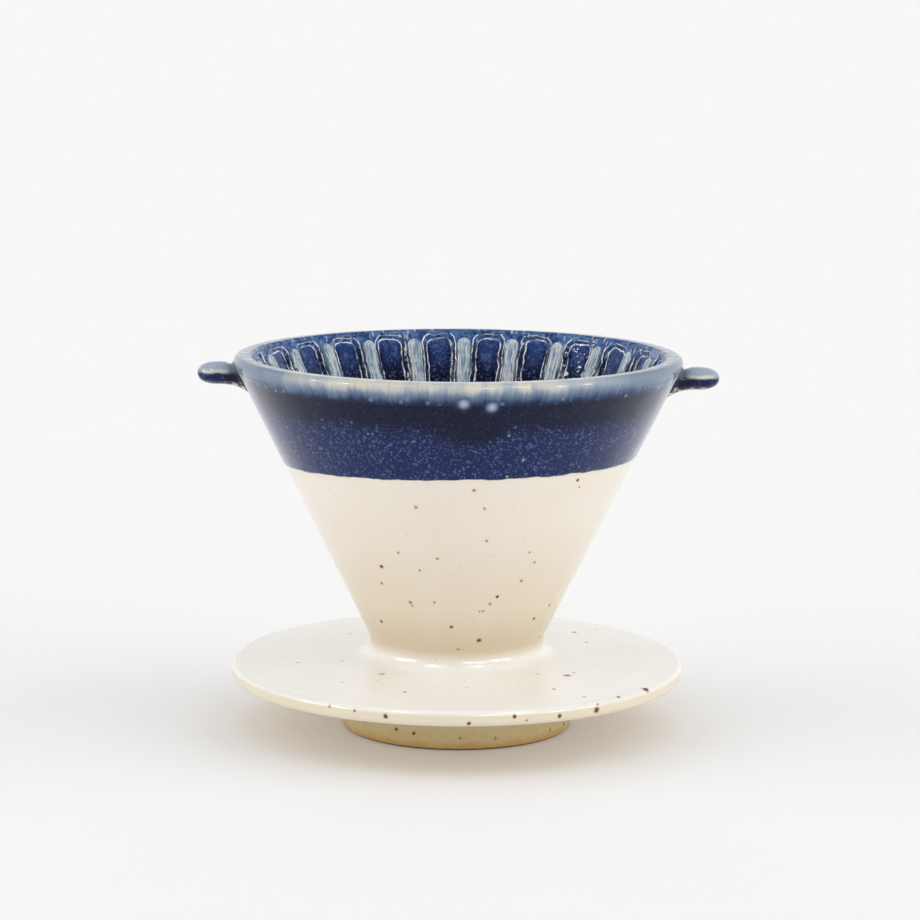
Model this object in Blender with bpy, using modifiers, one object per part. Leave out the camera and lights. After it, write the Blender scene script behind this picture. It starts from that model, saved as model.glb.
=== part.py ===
"""Stoneware pour-over dripper: a ribbed cone standing through a saucer, on a foot ring, with two lugs.

Metres, +Z up. The origin is on the table, under the cone's axis. The lugs lie along X.

The clay pieces are the ones a potter luts together: the thrown cone, the ribs laid on the
inside of its wall, the saucer with its collar, the foot ring and the two lugs.
"""

import math

import bmesh
import bpy
from mathutils import Matrix, Vector

# Sizes that can each be set by themselves.
TOTAL_HEIGHT = 0.0983
RIM_RADIUS = 0.0580  # at the widest point of the lip
CONE_WALL = 0.0037  # square to the wall
LIP_THICKNESS = 0.0046  # along the radius
LIP_OUTER_ROUND = 0.0016
LIP_INNER_ROUND = 0.0023
TIP_HEIGHT = 0.0030  # the drain hole's mouth above the table
TIP_RADIUS = 0.01255  # of the outer wall there
TIP_ROUND = 0.0010

RIB_COUNT = 24
FIRST_RIB_ANGLE = math.radians(13.5)  # from +X towards +Y
RIB_TOP_HEIGHT = 0.0953
RIB_BOTTOM_HEIGHT = 0.0130
RIB_TOP_WIDTH = 0.0038
RIB_BOTTOM_WIDTH = 0.0015
RIB_TOP_RELIEF = 0.0020  # how far it stands off the wall
RIB_BOTTOM_RELIEF = 0.0012
RIB_END_LENGTH = 0.0022

SAUCER_RADIUS = 0.0593
SAUCER_UNDERSIDE = 0.0134
SAUCER_EDGE_THICKNESS = 0.0039
SAUCER_EDGE_ROUND = 0.0018
SAUCER_SHOULDER_WIDTH = 0.0093  # from the edge to where the top flattens
SAUCER_SHOULDER_RISE = 0.0007
SAUCER_SHOULDER_ROUND = 0.0300
SAUCER_SLOPE = 0.045  # rise of the top towards the cone
COLLAR_FILLET = 0.0045
COLLAR_EDGE = 0.0003
COLLAR_LAND = 0.0004

FOOT_RADIUS = 0.0301
FOOT_WALL = 0.0048
FOOT_SEAT_DEPTH = 0.0012  # the groove that the ring is set in, under the saucer
FOOT_ROUND = 0.0011

LUG_REACH = 0.0678  # from the axis to the tip
LUG_HEIGHT = 0.0065
LUG_WIDTH = 0.0092
LUG_ROOT_FLARE = 0.0018
LUG_ROOT_LENGTH = 0.0045
LUG_NOSE_LENGTH = 0.0036
LUG_CENTRES = {"lug_right": (0.0, 0.0923), "lug_left": (math.pi, 0.0930)}  # angle, height

# Clearances.
LUTED_GAP = 0.0003  # the slip between two clay pieces
CUTTER_MARGIN = 0.010

# Fineness.
TURNED_STEPS = 3 * RIB_COUNT  # so that each rib's back lies on one facet of the wall
ROUND_STEPS = 4
RIB_SIDES = 10
END_STEPS = 3
LUG_SIDES = 20
LUG_STEPS = 4
TIP_SHARE = 0.35  # how far round its first step a rounded end stops short of a point
FLARE_ROUNDS = 12

# What follows from the sizes.
def top_line_radius(flare):
    """Where the straight wall would reach the rim's height, if the lip had no rounding."""
    return RIM_RADIUS + LIP_OUTER_ROUND * (flare + math.hypot(1, flare) - 1)


def settled_flare():
    """The wall's growth in radius for each unit of height. The lip's rounding depends on it a little."""
    flare = 0.0
    for _ in range(FLARE_ROUNDS):
        flare = (top_line_radius(flare) - TIP_RADIUS) / (TOTAL_HEIGHT - TIP_HEIGHT)
    return flare


CONE_FLARE = settled_flare()
WALL_LEAN = math.atan(CONE_FLARE)
TOP_LINE_RADIUS = top_line_radius(CONE_FLARE)
FACET_TURN = FIRST_RIB_ANGLE - math.pi / TURNED_STEPS

dripper = bpy.data.collections.new("pour_over_dripper")
cutters = bpy.data.collections.new("cutters")


def outer_radius(height, offset=0.0):
    """The cone's outer wall, or a line at offset square to it on the outside."""
    on_wall = TOP_LINE_RADIUS - CONE_FLARE * (TOTAL_HEIGHT - height)
    return on_wall + offset / math.cos(WALL_LEAN)


def clear_scene():
    for obj in list(bpy.data.objects):
        bpy.data.objects.remove(obj, do_unlink=True)
    bpy.context.scene.collection.children.link(dripper)
    bpy.context.scene.collection.children.link(cutters)


def glaze(name, colour, roughness):
    material = bpy.data.materials.new(name)
    material.use_nodes = True
    shader = material.node_tree.nodes["Principled BSDF"]
    shader.inputs["Base Color"].default_value = (*colour, 1.0)
    shader.inputs["Roughness"].default_value = roughness
    shader.inputs["Metallic"].default_value = 0.0
    material.diffuse_color = (*colour, 1.0)
    return material


def rounded_outline(corners):
    """Points of a closed outline of (radius, height, rounding) corners, each rounding an arc."""
    points = []
    for i, (r, z, rounding) in enumerate(corners):
        here = Vector((r, z))
        if rounding == 0:
            points.append(here)
            continue
        back = (Vector(corners[i - 1][:2]) - here).normalized()
        ahead = (Vector(corners[(i + 1) % len(corners)][:2]) - here).normalized()
        half = back.angle(ahead) / 2
        centre = here + (back + ahead).normalized() * rounding / math.sin(half)
        start = here + back * rounding / math.tan(half) - centre
        turn = start.angle_signed(here + ahead * rounding / math.tan(half) - centre)
        for step in range(ROUND_STEPS + 1):
            angle = -turn * step / ROUND_STEPS
            points.append(centre + Matrix.Rotation(angle, 2) @ start)
    return points


def turned(name, corners, collection):
    """A solid of revolution. Its corners run down the outer side and back up the inner one."""
    points = rounded_outline(corners)
    mesh = bpy.data.meshes.new(name)
    loop = [(i, (i + 1) % len(points)) for i in range(len(points))]
    mesh.from_pydata([(p.x, 0.0, p.y) for p in points], loop, [])
    obj = bpy.data.objects.new(name, mesh)
    collection.objects.link(obj)
    obj.rotation_euler.z = FACET_TURN
    screw = obj.modifiers.new("turn", "SCREW")
    screw.steps = TURNED_STEPS
    screw.render_steps = TURNED_STEPS
    graph = bpy.context.evaluated_depsgraph_get()
    obj.data = bpy.data.meshes.new_from_object(obj.evaluated_get(graph))
    obj.modifiers.clear()
    shade_round(obj.data)
    return obj


def lofted_mesh(name, sections, sides):
    """A closed skin over unit circles, each placed and shaped by one matrix."""
    bm = bmesh.new()
    rings = []
    for matrix in sections:
        before = set(bm.edges)
        bmesh.ops.create_circle(bm, segments=sides, radius=1.0, matrix=matrix)
        rings.append([edge for edge in bm.edges if edge not in before])
    for lower, upper in zip(rings, rings[1:]):
        bmesh.ops.bridge_loops(bm, edges=lower + upper)
    bmesh.ops.holes_fill(bm, edges=rings[0] + rings[-1])
    bmesh.ops.recalc_face_normals(bm, faces=bm.faces)
    mesh = bpy.data.meshes.new(name)
    bm.to_mesh(mesh)
    bm.free()
    return mesh


def keep_side(mesh, point, normal):
    """Cuts the mesh at a plane and closes it, keeping what the normal points away from."""
    bm = bmesh.new()
    bm.from_mesh(mesh)
    everything = bm.verts[:] + bm.edges[:] + bm.faces[:]
    cut = bmesh.ops.bisect_plane(bm, geom=everything, plane_co=point, plane_no=normal, clear_outer=True)
    rim = [item for item in cut["geom_cut"] if isinstance(item, bmesh.types.BMEdge)]
    bmesh.ops.holes_fill(bm, edges=rim)
    bmesh.ops.recalc_face_normals(bm, faces=bm.faces)
    bm.to_mesh(mesh)
    bm.free()


def shade_round(mesh, crease_degrees=40):
    mesh.shade_smooth()
    mesh.set_sharp_from_angle(angle=math.radians(crease_degrees))


def section(centre, across, along, width, height):
    """A matrix that lays a unit circle at centre, with half widths along two directions."""
    square = across.cross(along)
    matrix = Matrix((across * width, along * height, square)).transposed().to_4x4()
    matrix.translation = centre
    return matrix


def end_swell(distance, length):
    """How full a rounded end is, 0 at its tip and 1 where it meets the straight part."""
    return math.sqrt(max(0.0, 1 - (1 - distance / length) ** 2))


def cone_body(material):
    """The thrown cone, open at the rim and at the drain hole, with a thickened lip."""
    lip_inside = RIM_RADIUS - LIP_THICKNESS
    floor_height = TOTAL_HEIGHT - (outer_radius(TOTAL_HEIGHT, -CONE_WALL) - lip_inside) / CONE_FLARE
    corners = [
        (lip_inside, TOTAL_HEIGHT, LIP_INNER_ROUND),
        (outer_radius(TOTAL_HEIGHT), TOTAL_HEIGHT, LIP_OUTER_ROUND),
        (outer_radius(TIP_HEIGHT), TIP_HEIGHT, TIP_ROUND),
        (outer_radius(TIP_HEIGHT, -CONE_WALL), TIP_HEIGHT, TIP_ROUND),
        (lip_inside, floor_height, 0),
    ]
    turned("cone_body", corners, dripper).data.materials.append(material)


def ribs(material):
    """Tapering half-round ribs on the inner wall. One mesh serves them all."""
    # Each rib lies along the middle of one flat facet of the turned wall.
    to_facet = math.cos(math.pi / TURNED_STEPS)
    bottom = Vector((outer_radius(RIB_BOTTOM_HEIGHT, -CONE_WALL) * to_facet, 0, RIB_BOTTOM_HEIGHT))
    top = Vector((outer_radius(RIB_TOP_HEIGHT, -CONE_WALL) * to_facet, 0, RIB_TOP_HEIGHT))
    length = (top - bottom).length
    up_wall = (top - bottom).normalized()
    off_wall = Vector((-up_wall.z, 0, up_wall.x))
    sideways = Vector((0, 1, 0))
    end_steps = []
    for i in range(END_STEPS + 1):
        quarter = math.pi / 2 * (i + TIP_SHARE) / (END_STEPS + TIP_SHARE)
        end_steps.append(RIB_END_LENGTH * (1 - math.cos(quarter)))
    sections = []
    for along in end_steps + [length - step for step in reversed(end_steps)]:
        share = along / length
        swell = end_swell(min(along, length - along), RIB_END_LENGTH)
        width = swell * (RIB_BOTTOM_WIDTH + share * (RIB_TOP_WIDTH - RIB_BOTTOM_WIDTH))
        relief = swell * (RIB_BOTTOM_RELIEF + share * (RIB_TOP_RELIEF - RIB_BOTTOM_RELIEF))
        sections.append(section(bottom + up_wall * along, sideways, off_wall, width / 2, relief))
    mesh = lofted_mesh("rib", sections, RIB_SIDES)
    keep_side(mesh, bottom + off_wall * LUTED_GAP, -off_wall)
    shade_round(mesh)
    mesh.materials.append(material)
    for i in range(RIB_COUNT):
        rib = bpy.data.objects.new(f"rib_{i + 1:02d}", mesh)
        rib.rotation_euler.z = FIRST_RIB_ANGLE + i * 2 * math.pi / RIB_COUNT
        dripper.objects.link(rib)


def saucer_plate(material):
    """The saucer, with a conical seat round the cone, a filleted collar and a groove for the foot."""
    collar_face = LUTED_GAP + COLLAR_EDGE
    edge_top = SAUCER_UNDERSIDE + SAUCER_EDGE_THICKNESS
    shoulder_radius = SAUCER_RADIUS - SAUCER_SHOULDER_WIDTH
    shoulder_height = edge_top + SAUCER_SHOULDER_RISE
    # Where the sloping top would meet the collar's face, if there were no fillet.
    at_shoulder = outer_radius(shoulder_height, collar_face)
    corner_rise = (shoulder_radius - at_shoulder) * SAUCER_SLOPE / (1 + CONE_FLARE * SAUCER_SLOPE)
    corner_height = shoulder_height + corner_rise
    # The fillet turns through the angle between the wall and the top.
    turn = math.pi / 2 + WALL_LEAN - math.atan(SAUCER_SLOPE)
    fillet_rise = COLLAR_FILLET * math.tan(turn / 2) * math.cos(WALL_LEAN)
    collar_top = corner_height + fillet_rise + COLLAR_LAND
    seat_top = SAUCER_UNDERSIDE + FOOT_SEAT_DEPTH
    groove_outside = FOOT_RADIUS + LUTED_GAP
    groove_inside = FOOT_RADIUS - FOOT_WALL - LUTED_GAP
    corners = [
        (outer_radius(collar_top, LUTED_GAP), collar_top, 0),
        (outer_radius(collar_top, collar_face), collar_top, 0),
        (outer_radius(corner_height, collar_face), corner_height, COLLAR_FILLET),
        (shoulder_radius, shoulder_height, SAUCER_SHOULDER_ROUND),
        (SAUCER_RADIUS, edge_top, SAUCER_EDGE_ROUND),
        (SAUCER_RADIUS, SAUCER_UNDERSIDE, SAUCER_EDGE_ROUND),
        (groove_outside, SAUCER_UNDERSIDE, 0),
        (groove_outside, seat_top, 0),
        (groove_inside, seat_top, 0),
        (groove_inside, SAUCER_UNDERSIDE, 0),
        (outer_radius(SAUCER_UNDERSIDE, LUTED_GAP), SAUCER_UNDERSIDE, 0),
    ]
    turned("saucer_plate", corners, dripper).data.materials.append(material)


def foot_ring(material):
    """The ring that the dripper stands on, set into the groove under the saucer."""
    top = SAUCER_UNDERSIDE + FOOT_SEAT_DEPTH - LUTED_GAP
    inside = FOOT_RADIUS - FOOT_WALL
    corners = [
        (inside, top, 0),
        (FOOT_RADIUS, top, 0),
        (FOOT_RADIUS, 0, FOOT_ROUND),
        (inside, 0, FOOT_ROUND),
    ]
    turned("foot_ring", corners, dripper).data.materials.append(material)


def wall_cutter():
    """The space that the cone takes up, so that the lugs' backs follow its wall."""
    bottom = TOTAL_HEIGHT / 2
    top = TOTAL_HEIGHT + CUTTER_MARGIN
    corners = [
        (CUTTER_MARGIN, top, 0),
        (outer_radius(top, LUTED_GAP), top, 0),
        (outer_radius(bottom, LUTED_GAP), bottom, 0),
        (CUTTER_MARGIN, bottom, 0),
    ]
    cutter = turned("wall_cutter", corners, cutters)
    cutter.hide_render = True
    cutter.display_type = "WIRE"
    return cutter


def lug(name, angle, height, cutter, material):
    """A rounded nub that flares into the wall, reaching out along +X before it is turned."""
    root = outer_radius(height)
    reach = LUG_REACH - root
    sideways = Vector((0, 1, 0))
    distances = [-CONE_WALL / 2]
    for i in range(LUG_STEPS + 1):
        distances.append(LUG_ROOT_LENGTH * i / LUG_STEPS)
    for i in reversed(range(LUG_STEPS + 1)):
        quarter = math.pi / 2 * (i + TIP_SHARE) / (LUG_STEPS + TIP_SHARE)
        distances.append(reach - LUG_NOSE_LENGTH * (1 - math.cos(quarter)))
    sections = []
    for out in distances:
        near_root = min(1.0, max(0.0, 1 - out / LUG_ROOT_LENGTH))
        lean = WALL_LEAN * near_root
        upright = Vector((math.sin(lean), 0, math.cos(lean)))
        flare = LUG_ROOT_FLARE * near_root**2
        swell = end_swell(min(reach - out, LUG_NOSE_LENGTH), LUG_NOSE_LENGTH)
        width = swell * LUG_WIDTH / 2 + flare
        tall = swell * LUG_HEIGHT / 2 + flare
        sections.append(section(Vector((root + out, 0, height)), sideways, upright, width, tall))
    mesh = lofted_mesh(name, sections, LUG_SIDES)
    mesh.transform(Matrix.Rotation(angle, 4, "Z"))
    shade_round(mesh)
    mesh.materials.append(material)
    obj = bpy.data.objects.new(name, mesh)
    dripper.objects.link(obj)
    fit = obj.modifiers.new("fit_to_wall", "BOOLEAN")
    fit.operation = "DIFFERENCE"
    fit.solver = "EXACT"
    fit.object = cutter


def build():
    clear_scene()
    cream = glaze("cream_glaze", (0.72, 0.64, 0.51), 0.22)
    cobalt = glaze("cobalt_glaze", (0.035, 0.050, 0.140), 0.14)
    pale_rib = glaze("broken_blue_glaze", (0.22, 0.33, 0.42), 0.16)
    clay = glaze("warm_cream_glaze", (0.52, 0.42, 0.25), 0.35)
    cone_body(cream)
    ribs(pale_rib)
    saucer_plate(cream)
    foot_ring(clay)
    cutter = wall_cutter()
    for name, (angle, height) in LUG_CENTRES.items():
        lug(name, angle, height, cutter, cobalt)


build()
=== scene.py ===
# %% [markdown]
# # A glazed stoneware pour-over dripper
#
# The CAD frame already holds every clay piece at its true size: the cone, 24 ribs, the saucer, the
# foot ring and two lugs. This lesson gives each one the soft edges that fingers and a sponge leave,
# and the two glazes: cream with iron specks, and a speckled cobalt that the rim was dipped in.
#
# Sizes here are written in millimetres, as a potter would, and turned into metres when they are
# placed. Angles round the pot are in degrees from the front, growing towards the right.

# %% Load the frame
import math

import bpy
from mathutils import Matrix, Vector, noise


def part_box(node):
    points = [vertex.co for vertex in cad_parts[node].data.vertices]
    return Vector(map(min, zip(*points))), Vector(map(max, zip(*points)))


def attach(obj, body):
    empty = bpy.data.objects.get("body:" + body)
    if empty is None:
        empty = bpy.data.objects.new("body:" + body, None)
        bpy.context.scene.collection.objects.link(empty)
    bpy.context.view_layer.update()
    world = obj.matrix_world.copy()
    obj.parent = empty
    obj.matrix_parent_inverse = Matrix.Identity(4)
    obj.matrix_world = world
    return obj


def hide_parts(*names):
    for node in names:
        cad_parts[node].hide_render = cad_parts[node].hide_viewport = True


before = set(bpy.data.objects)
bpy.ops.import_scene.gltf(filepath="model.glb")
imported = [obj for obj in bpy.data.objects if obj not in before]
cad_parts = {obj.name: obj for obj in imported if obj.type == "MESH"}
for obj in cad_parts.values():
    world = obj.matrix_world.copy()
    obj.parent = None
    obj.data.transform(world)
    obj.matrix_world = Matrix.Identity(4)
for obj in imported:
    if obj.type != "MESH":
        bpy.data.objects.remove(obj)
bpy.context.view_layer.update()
bpy.ops.object.select_all(action="DESELECT")
MM = 0.001
print("pieces in the frame:", len(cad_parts))

# %% [markdown]
# ## What the CAD says
#
# Heights and radii are read from the boxes of the CAD nodes, so the clay below stays where the
# frame puts it. Circles there are made of short straight pieces, so a radius is rounded to a tenth.
# The wall's slope and thickness can't be read from a box, so they are given here. From them come the
# two directions that the inside is built with: up along the wall, and square off it.

# %% Sizes from the frame
cone_low, cone_high = (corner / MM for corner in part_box("cone_body"))
saucer_low, saucer_high = (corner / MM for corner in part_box("saucer_plate"))
foot_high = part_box("foot_ring")[1] / MM
RIM_HEIGHT = cone_high.z
RIM_RADIUS = round(cone_high.x, 1)
TIP_HEIGHT = cone_low.z
SAUCER_RADIUS = round(saucer_high.x, 1)
SAUCER_UNDER = saucer_low.z
FOOT_RADIUS = round(foot_high.x, 1)
FLARE = 0.487  # how far the wall runs outwards for each millimetre up
WALL = 3.7
LEAN = math.atan(FLARE)
RISE = Vector((math.sin(LEAN), math.cos(LEAN)))  # up along the wall, as (radius, height)
INWARD = Vector((-math.cos(LEAN), math.sin(LEAN)))  # square off the inside of the wall
LIP_ROUND = 1.6
TOP_LINE = RIM_RADIUS + LIP_ROUND * (FLARE + 1 / math.cos(LEAN) - 1)  # the wall's line, at the rim
RIB_COUNT = 24
FIRST_RIB = math.radians(13.5)


def wall_radius(height, offset=0.0):
    """Radius of the outer wall at a height, or of a line at offset square outside it."""
    return TOP_LINE - FLARE * (RIM_HEIGHT - height) + offset / math.cos(LEAN)


print("radii: rim", RIM_RADIUS, "saucer", SAUCER_RADIUS, "foot", FOOT_RADIUS)
print("rim at", round(RIM_HEIGHT, 1), "and wall radius at 50 mm", round(wall_radius(50), 2))

# %% [markdown]
# ## Small tools
#
# A few actions come back for every piece: go into edit mode, pick out the points that pass a test,
# and finish a mesh so that its doubles are merged and its faces point outwards.

# %% Helpers for edit mode


def only(obj):
    """Makes this the one selected and active object."""
    if bpy.context.object and bpy.context.object.mode != "OBJECT":
        bpy.ops.object.mode_set(mode="OBJECT")
    bpy.ops.object.select_all(action="DESELECT")
    obj.select_set(True)
    bpy.context.view_layer.objects.active = obj


def pick(obj, kind, test):
    """In edit mode, selects only the VERT, EDGE or FACE items whose every point passes the test."""
    bpy.ops.mesh.select_mode(type=kind)
    bpy.ops.mesh.select_all(action="DESELECT")
    bpy.ops.object.mode_set(mode="OBJECT")
    mesh = obj.data
    passed = [test(vertex.co / MM) for vertex in mesh.vertices]
    if kind == "VERT":
        for vertex in mesh.vertices:
            vertex.select = passed[vertex.index]
    else:
        for item in mesh.edges if kind == "EDGE" else mesh.polygons:
            item.select = all(passed[i] for i in item.vertices)
    bpy.ops.object.mode_set(mode="EDIT")


def close_up(obj, gap=0.004):
    """Merges doubles and turns every face outwards."""
    only(obj)
    bpy.ops.object.mode_set(mode="EDIT")
    bpy.ops.mesh.select_all(action="SELECT")
    bpy.ops.mesh.remove_doubles(threshold=gap * MM)
    bpy.ops.mesh.normals_make_consistent(inside=False)
    bpy.ops.object.mode_set(mode="OBJECT")
    bpy.ops.object.shade_smooth()


def tell(obj):
    low = [round(min(v.co[i] for v in obj.data.vertices) / MM, 1) for i in range(3)]
    high = [round(max(v.co[i] for v in obj.data.vertices) / MM, 1) for i in range(3)]
    print(obj.name, "faces", len(obj.data.polygons), "from", low, "to", high)


# %% [markdown]
# ## Turning on the wheel
#
# The cone, saucer and foot were thrown on a wheel, so each is one outline turned about the axis. By
# hand that is a ring of a few points moved to the outline's corners, a vertex bevel on each corner
# that a sponge rounded, cuts along the straight runs, and Spin. Every corner is written as radius,
# height, rounding, and the number of cuts on the run to the next corner.

# %% An outline, and spinning it


def outline(name, corners):
    """A closed line in the XZ plane, with its corners rounded and its straight runs cut."""
    bpy.ops.mesh.primitive_circle_add(vertices=len(corners), radius=MM)
    obj = bpy.context.object
    obj.name = obj.data.name = name
    places = [Vector((radius, 0, height)) for radius, height, _, _ in corners]
    for vertex, place in zip(obj.data.vertices, places):
        vertex.co = place * MM
    bpy.ops.object.mode_set(mode="EDIT")
    for i, place in enumerate(places):
        cuts = corners[i][3]
        after = places[(i + 1) % len(places)]
        if cuts:
            ends = (place, after)
            pick(obj, "EDGE", lambda co: min((co - end).length for end in ends) < 0.01)
            bpy.ops.mesh.subdivide(number_cuts=cuts)
    for i, place in enumerate(places):
        rounding = corners[i][2]
        if rounding:
            back = (places[i - 1] - place).normalized()
            ahead = (places[(i + 1) % len(places)] - place).normalized()
            round_corner(obj, place, (back, ahead), rounding)
    bpy.ops.object.mode_set(mode="OBJECT")
    return obj


def round_corner(obj, place, runs, rounding):
    """Takes out the cuts that the rounding covers, then bevels the corner's point."""
    reach = rounding / math.tan(runs[0].angle(runs[1]) / 2)  # how far along each run it starts

    def covered(co):
        away = co - place
        if not 0.01 < away.length < 0.98 * reach:
            return False
        return any(away.normalized().dot(run) > 0.99999 for run in runs)

    pick(obj, "VERT", covered)
    bpy.ops.mesh.dissolve_verts()
    pick(obj, "VERT", lambda co: (co - place).length < 0.01)
    segments = 3 if rounding < 0.3 else 4 if rounding < 0.8 else 8
    bpy.ops.mesh.bevel(offset=reach * MM, segments=segments, affect="VERTICES")


def turn(obj, steps):
    """Spins the outline once round the axis and closes the seam."""
    only(obj)
    bpy.ops.object.mode_set(mode="EDIT")
    bpy.ops.mesh.select_all(action="SELECT")
    bpy.ops.mesh.spin(steps=steps, angle=2 * math.pi, center=(0, 0, 0), axis=(0, 0, 1))
    close_up(obj)


# %% [markdown]
# ## The dipped edge
#
# The rim was held upside down and dipped into the cobalt glaze, not quite level, so the edge of the
# blue runs round the cone a little tilted and a little wavy. One rule gives its height for any angle
# round the pot, and both the clay and the colours ask it.

# %% Where the blue ends


def round_angle(place):
    """Degrees round the pot from the front, growing towards the right."""
    return math.degrees(math.atan2(place.x, -place.y))


DIP_MEAN = 72.2
COAT = 0.22  # how far the blue glaze stands over the cream one


def dip_height(degrees):
    """Height of the blue's edge: tilted towards one side, sagging a little, and rippled."""
    bearing = math.radians(degrees)
    tilt = 1.3 * math.sin(bearing) + 0.6 * math.cos(2 * (bearing + 0.21))
    around = Vector((math.cos(bearing), math.sin(bearing), 0.0))
    ripple = 0.28 * noise.noise(around * 7.0) + 0.12 * noise.noise(around * 21.0)
    return DIP_MEAN + tilt + ripple


print("blue edge in front", round(dip_height(0), 2), "left", round(dip_height(-66), 2))

# %% [markdown]
# ## The step under the lip
#
# Inside, the lip is a band that stands 1 mm proud of the wall. Below it the wall drops back in tall
# panels with rounded upper corners, and between the panels stand the ribs. The step from the panel
# up to the band and the step up to a rib's shoulder are the same shape, so one rule serves both: it
# turns the distance from the panel's edge into a height off the wall.

# %% Profile of a step
STEP_TOP = 96.0  # height where the panels end
STEP_RUN = 1.0
STEP_RISE = 1.0
CREASE = 0.30
STEP_FOOT = Vector((wall_radius(STEP_TOP, -WALL), STEP_TOP))


def eased(distance, softness=CREASE):
    """Zero before the edge and the distance after it, with a soft bend between."""
    return (math.sqrt(distance**2 + softness**2) + distance) / 2


def step_height(distance):
    slope = STEP_RISE / STEP_RUN
    return slope * (eased(distance) - eased(distance - STEP_RUN))


def on_inner_wall(sideways, down, off, angle=0.0):
    """A place given along the inside wall: sideways from the angle, down it, and off it."""
    base = STEP_FOOT - RISE * down
    point = base + INWARD * off
    theta = angle + sideways / base.x
    return Vector((point.x * math.cos(theta), point.x * math.sin(theta), point.y))


# %% [markdown]
# ## The cone
#
# The outline goes up the outside, over the lip, down the band and its step, and down the inside to
# the drain hole. Just above the blue edge the outline steps out by the thickness of the dipped coat,
# so that the edge casts a hair of shadow, which paint alone wouldn't. The wall is cut into rows,
# because those near the edge are then moved up and down to follow it, and because the rows carry
# the numbers that the glazes read.

# %% Turn the cone
band_edge = STEP_FOOT + RISE * STEP_RUN + INWARD * STEP_RISE
cone = outline(
    "cone_glazed",
    [
        (wall_radius(TIP_HEIGHT), TIP_HEIGHT, 1.0, 14),
        (wall_radius(DIP_MEAN - 8), DIP_MEAN - 8, 0, 6),
        (wall_radius(DIP_MEAN), DIP_MEAN, 0, 0),
        (wall_radius(DIP_MEAN + 0.25, COAT), DIP_MEAN + 0.25, 0.10, 50),
        (wall_radius(RIM_HEIGHT, COAT), RIM_HEIGHT, 1.8, 1),
        (53.6, RIM_HEIGHT, 1.2, 2),
        (band_edge.x, band_edge.y, 0.35, 0),
        (STEP_FOOT.x, STEP_FOOT.y, 0.35, 17),
        (wall_radius(STEP_TOP - 9, -WALL), STEP_TOP - 9, 0, 22),
        (wall_radius(TIP_HEIGHT, -WALL), TIP_HEIGHT, 1.0, 1),
    ],
)
print("outline points", len(cone.data.vertices))
turn(cone, 576)
tell(cone)
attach(cone, "root")
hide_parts("cone_body")

# %% Bend the rows to the blue edge


def smooth_share(value, low, high):
    share = min(1.0, max(0.0, (value - low) / (high - low)))
    return share * share * (3 - 2 * share)


def is_outside(place):
    middle = wall_radius(place.z, -WALL / 2)
    return place.xy.length > middle


for vertex in cone.data.vertices:
    place = vertex.co / MM
    if not is_outside(place) or not 60 < place.z < 90:
        continue
    hold = smooth_share(place.z, 60, DIP_MEAN - 2) * (1 - smooth_share(place.z, DIP_MEAN + 2, 90))
    shift = (dip_height(round_angle(place)) - DIP_MEAN) * hold
    out = place.xy.normalized()
    vertex.co += Vector((*(out * FLARE * shift), shift)) * MM
print("rows bent")

# %% [markdown]
# ## Painting by numbers
#
# Each glaze needs to know where it is. That could be painted on an image, but numbers stored on the
# mesh, one for each point, go with it to every copy and have no seam. above_dip is millimetres over
# the blue edge, lip is 1 on the lip's edge, inside is 1 within the cone, panel and crest are
# millimetres in from a panel's edge and from a crest's edge, and lug runs from -1 to 1 up a lug.

# %% Store a number on each point


def remember(obj, name, rule):
    """Stores rule(place in mm) on every point of the mesh under a name."""
    layer = obj.data.attributes.get(name) or obj.data.attributes.new(name, "FLOAT", "POINT")
    for vertex in obj.data.vertices:
        layer.data[vertex.index].value = rule(vertex.co / MM)


def above_dip(place):
    return (place.z - dip_height(round_angle(place))) / math.cos(LEAN)


def above_inner_dip(place):
    """The inside was coated to the same depth, with longer runs."""
    runs = 2.5 * noise.noise(place.xy.normalized().to_3d() * 9.0)
    return place.z - 66.0 - runs


def lip_share(place):
    """1 on the outer edge of the lip, fading to 0 some 6 mm below it and on the inside."""
    down = min(1.0, max(0.0, (place.z - RIM_HEIGHT + 6.0) / 5.4))
    across = smooth_share(place.xy.length, 53.2, 55.6)
    return down * across


remember(cone, "above_dip", lambda p: above_dip(p) if is_outside(p) else above_inner_dip(p))
remember(cone, "lip", lip_share)
NO_CREST = -5.0
NO_PANEL = -9.0
NO_LUG = -0.4
remember(cone, "crest", lambda p: NO_CREST)
remember(cone, "lug", lambda p: NO_LUG)
remember(cone, "inside", lambda p: 0.0 if is_outside(p) else 1.0)
print("numbers stored on", len(cone.data.vertices), "points of the cone")

# %% [markdown]
# ## The ribs
#
# A rib is pressed relief: a shoulder 1 mm high that spreads into the band at its top, and on it a
# rounded crest with a round top end. A sheet of small squares takes such a shape well. The squares
# are set closer where the shape turns, a Displace modifier raises the sheet by its painted weight,
# the flat part is trimmed off, and the cut edge is extruded back into the wall and closed. Then the
# sheet is laid on the cone, and the other ribs are turned copies of it.

# %% Rows and columns of the sheet
SHOULDER = 3.55  # half the width between two panels
CREST = 2.1
CREST_RISE = 1.25
CREST_TOP = 0.55  # down the wall from the panels' upper edge
CORNER = 2.1  # rounding of a panel's upper corner
RIB_END = (STEP_TOP - 13.0) / math.cos(LEAN)
NARROW = 0.34  # width at the lower end, as a share of the width at the top
SUNK = 0.05


def spaced(*runs):
    """Positions from runs of (end, count), starting at the first value."""
    places = [runs[0]]
    for end, count in runs[1:]:
        start = places[-1]
        places += [start + (end - start) * (i + 1) / count for i in range(count)]
    return places


half = spaced(0.0, (0.9, 4), (3.9, 24), (5.5, 10))
across = [-x for x in reversed(half[1:])] + half
down = spaced(-1.5, (4.8, 44), (8.0, 9), (RIB_END - 3.0, 30), (RIB_END + 0.3, 12))
print("sheet of", len(across), "by", len(down), "points")

# %% How high the rib stands at each point


def taper(along):
    return 1 + (NARROW - 1) * smooth_share(along, -20, RIB_END)


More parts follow.
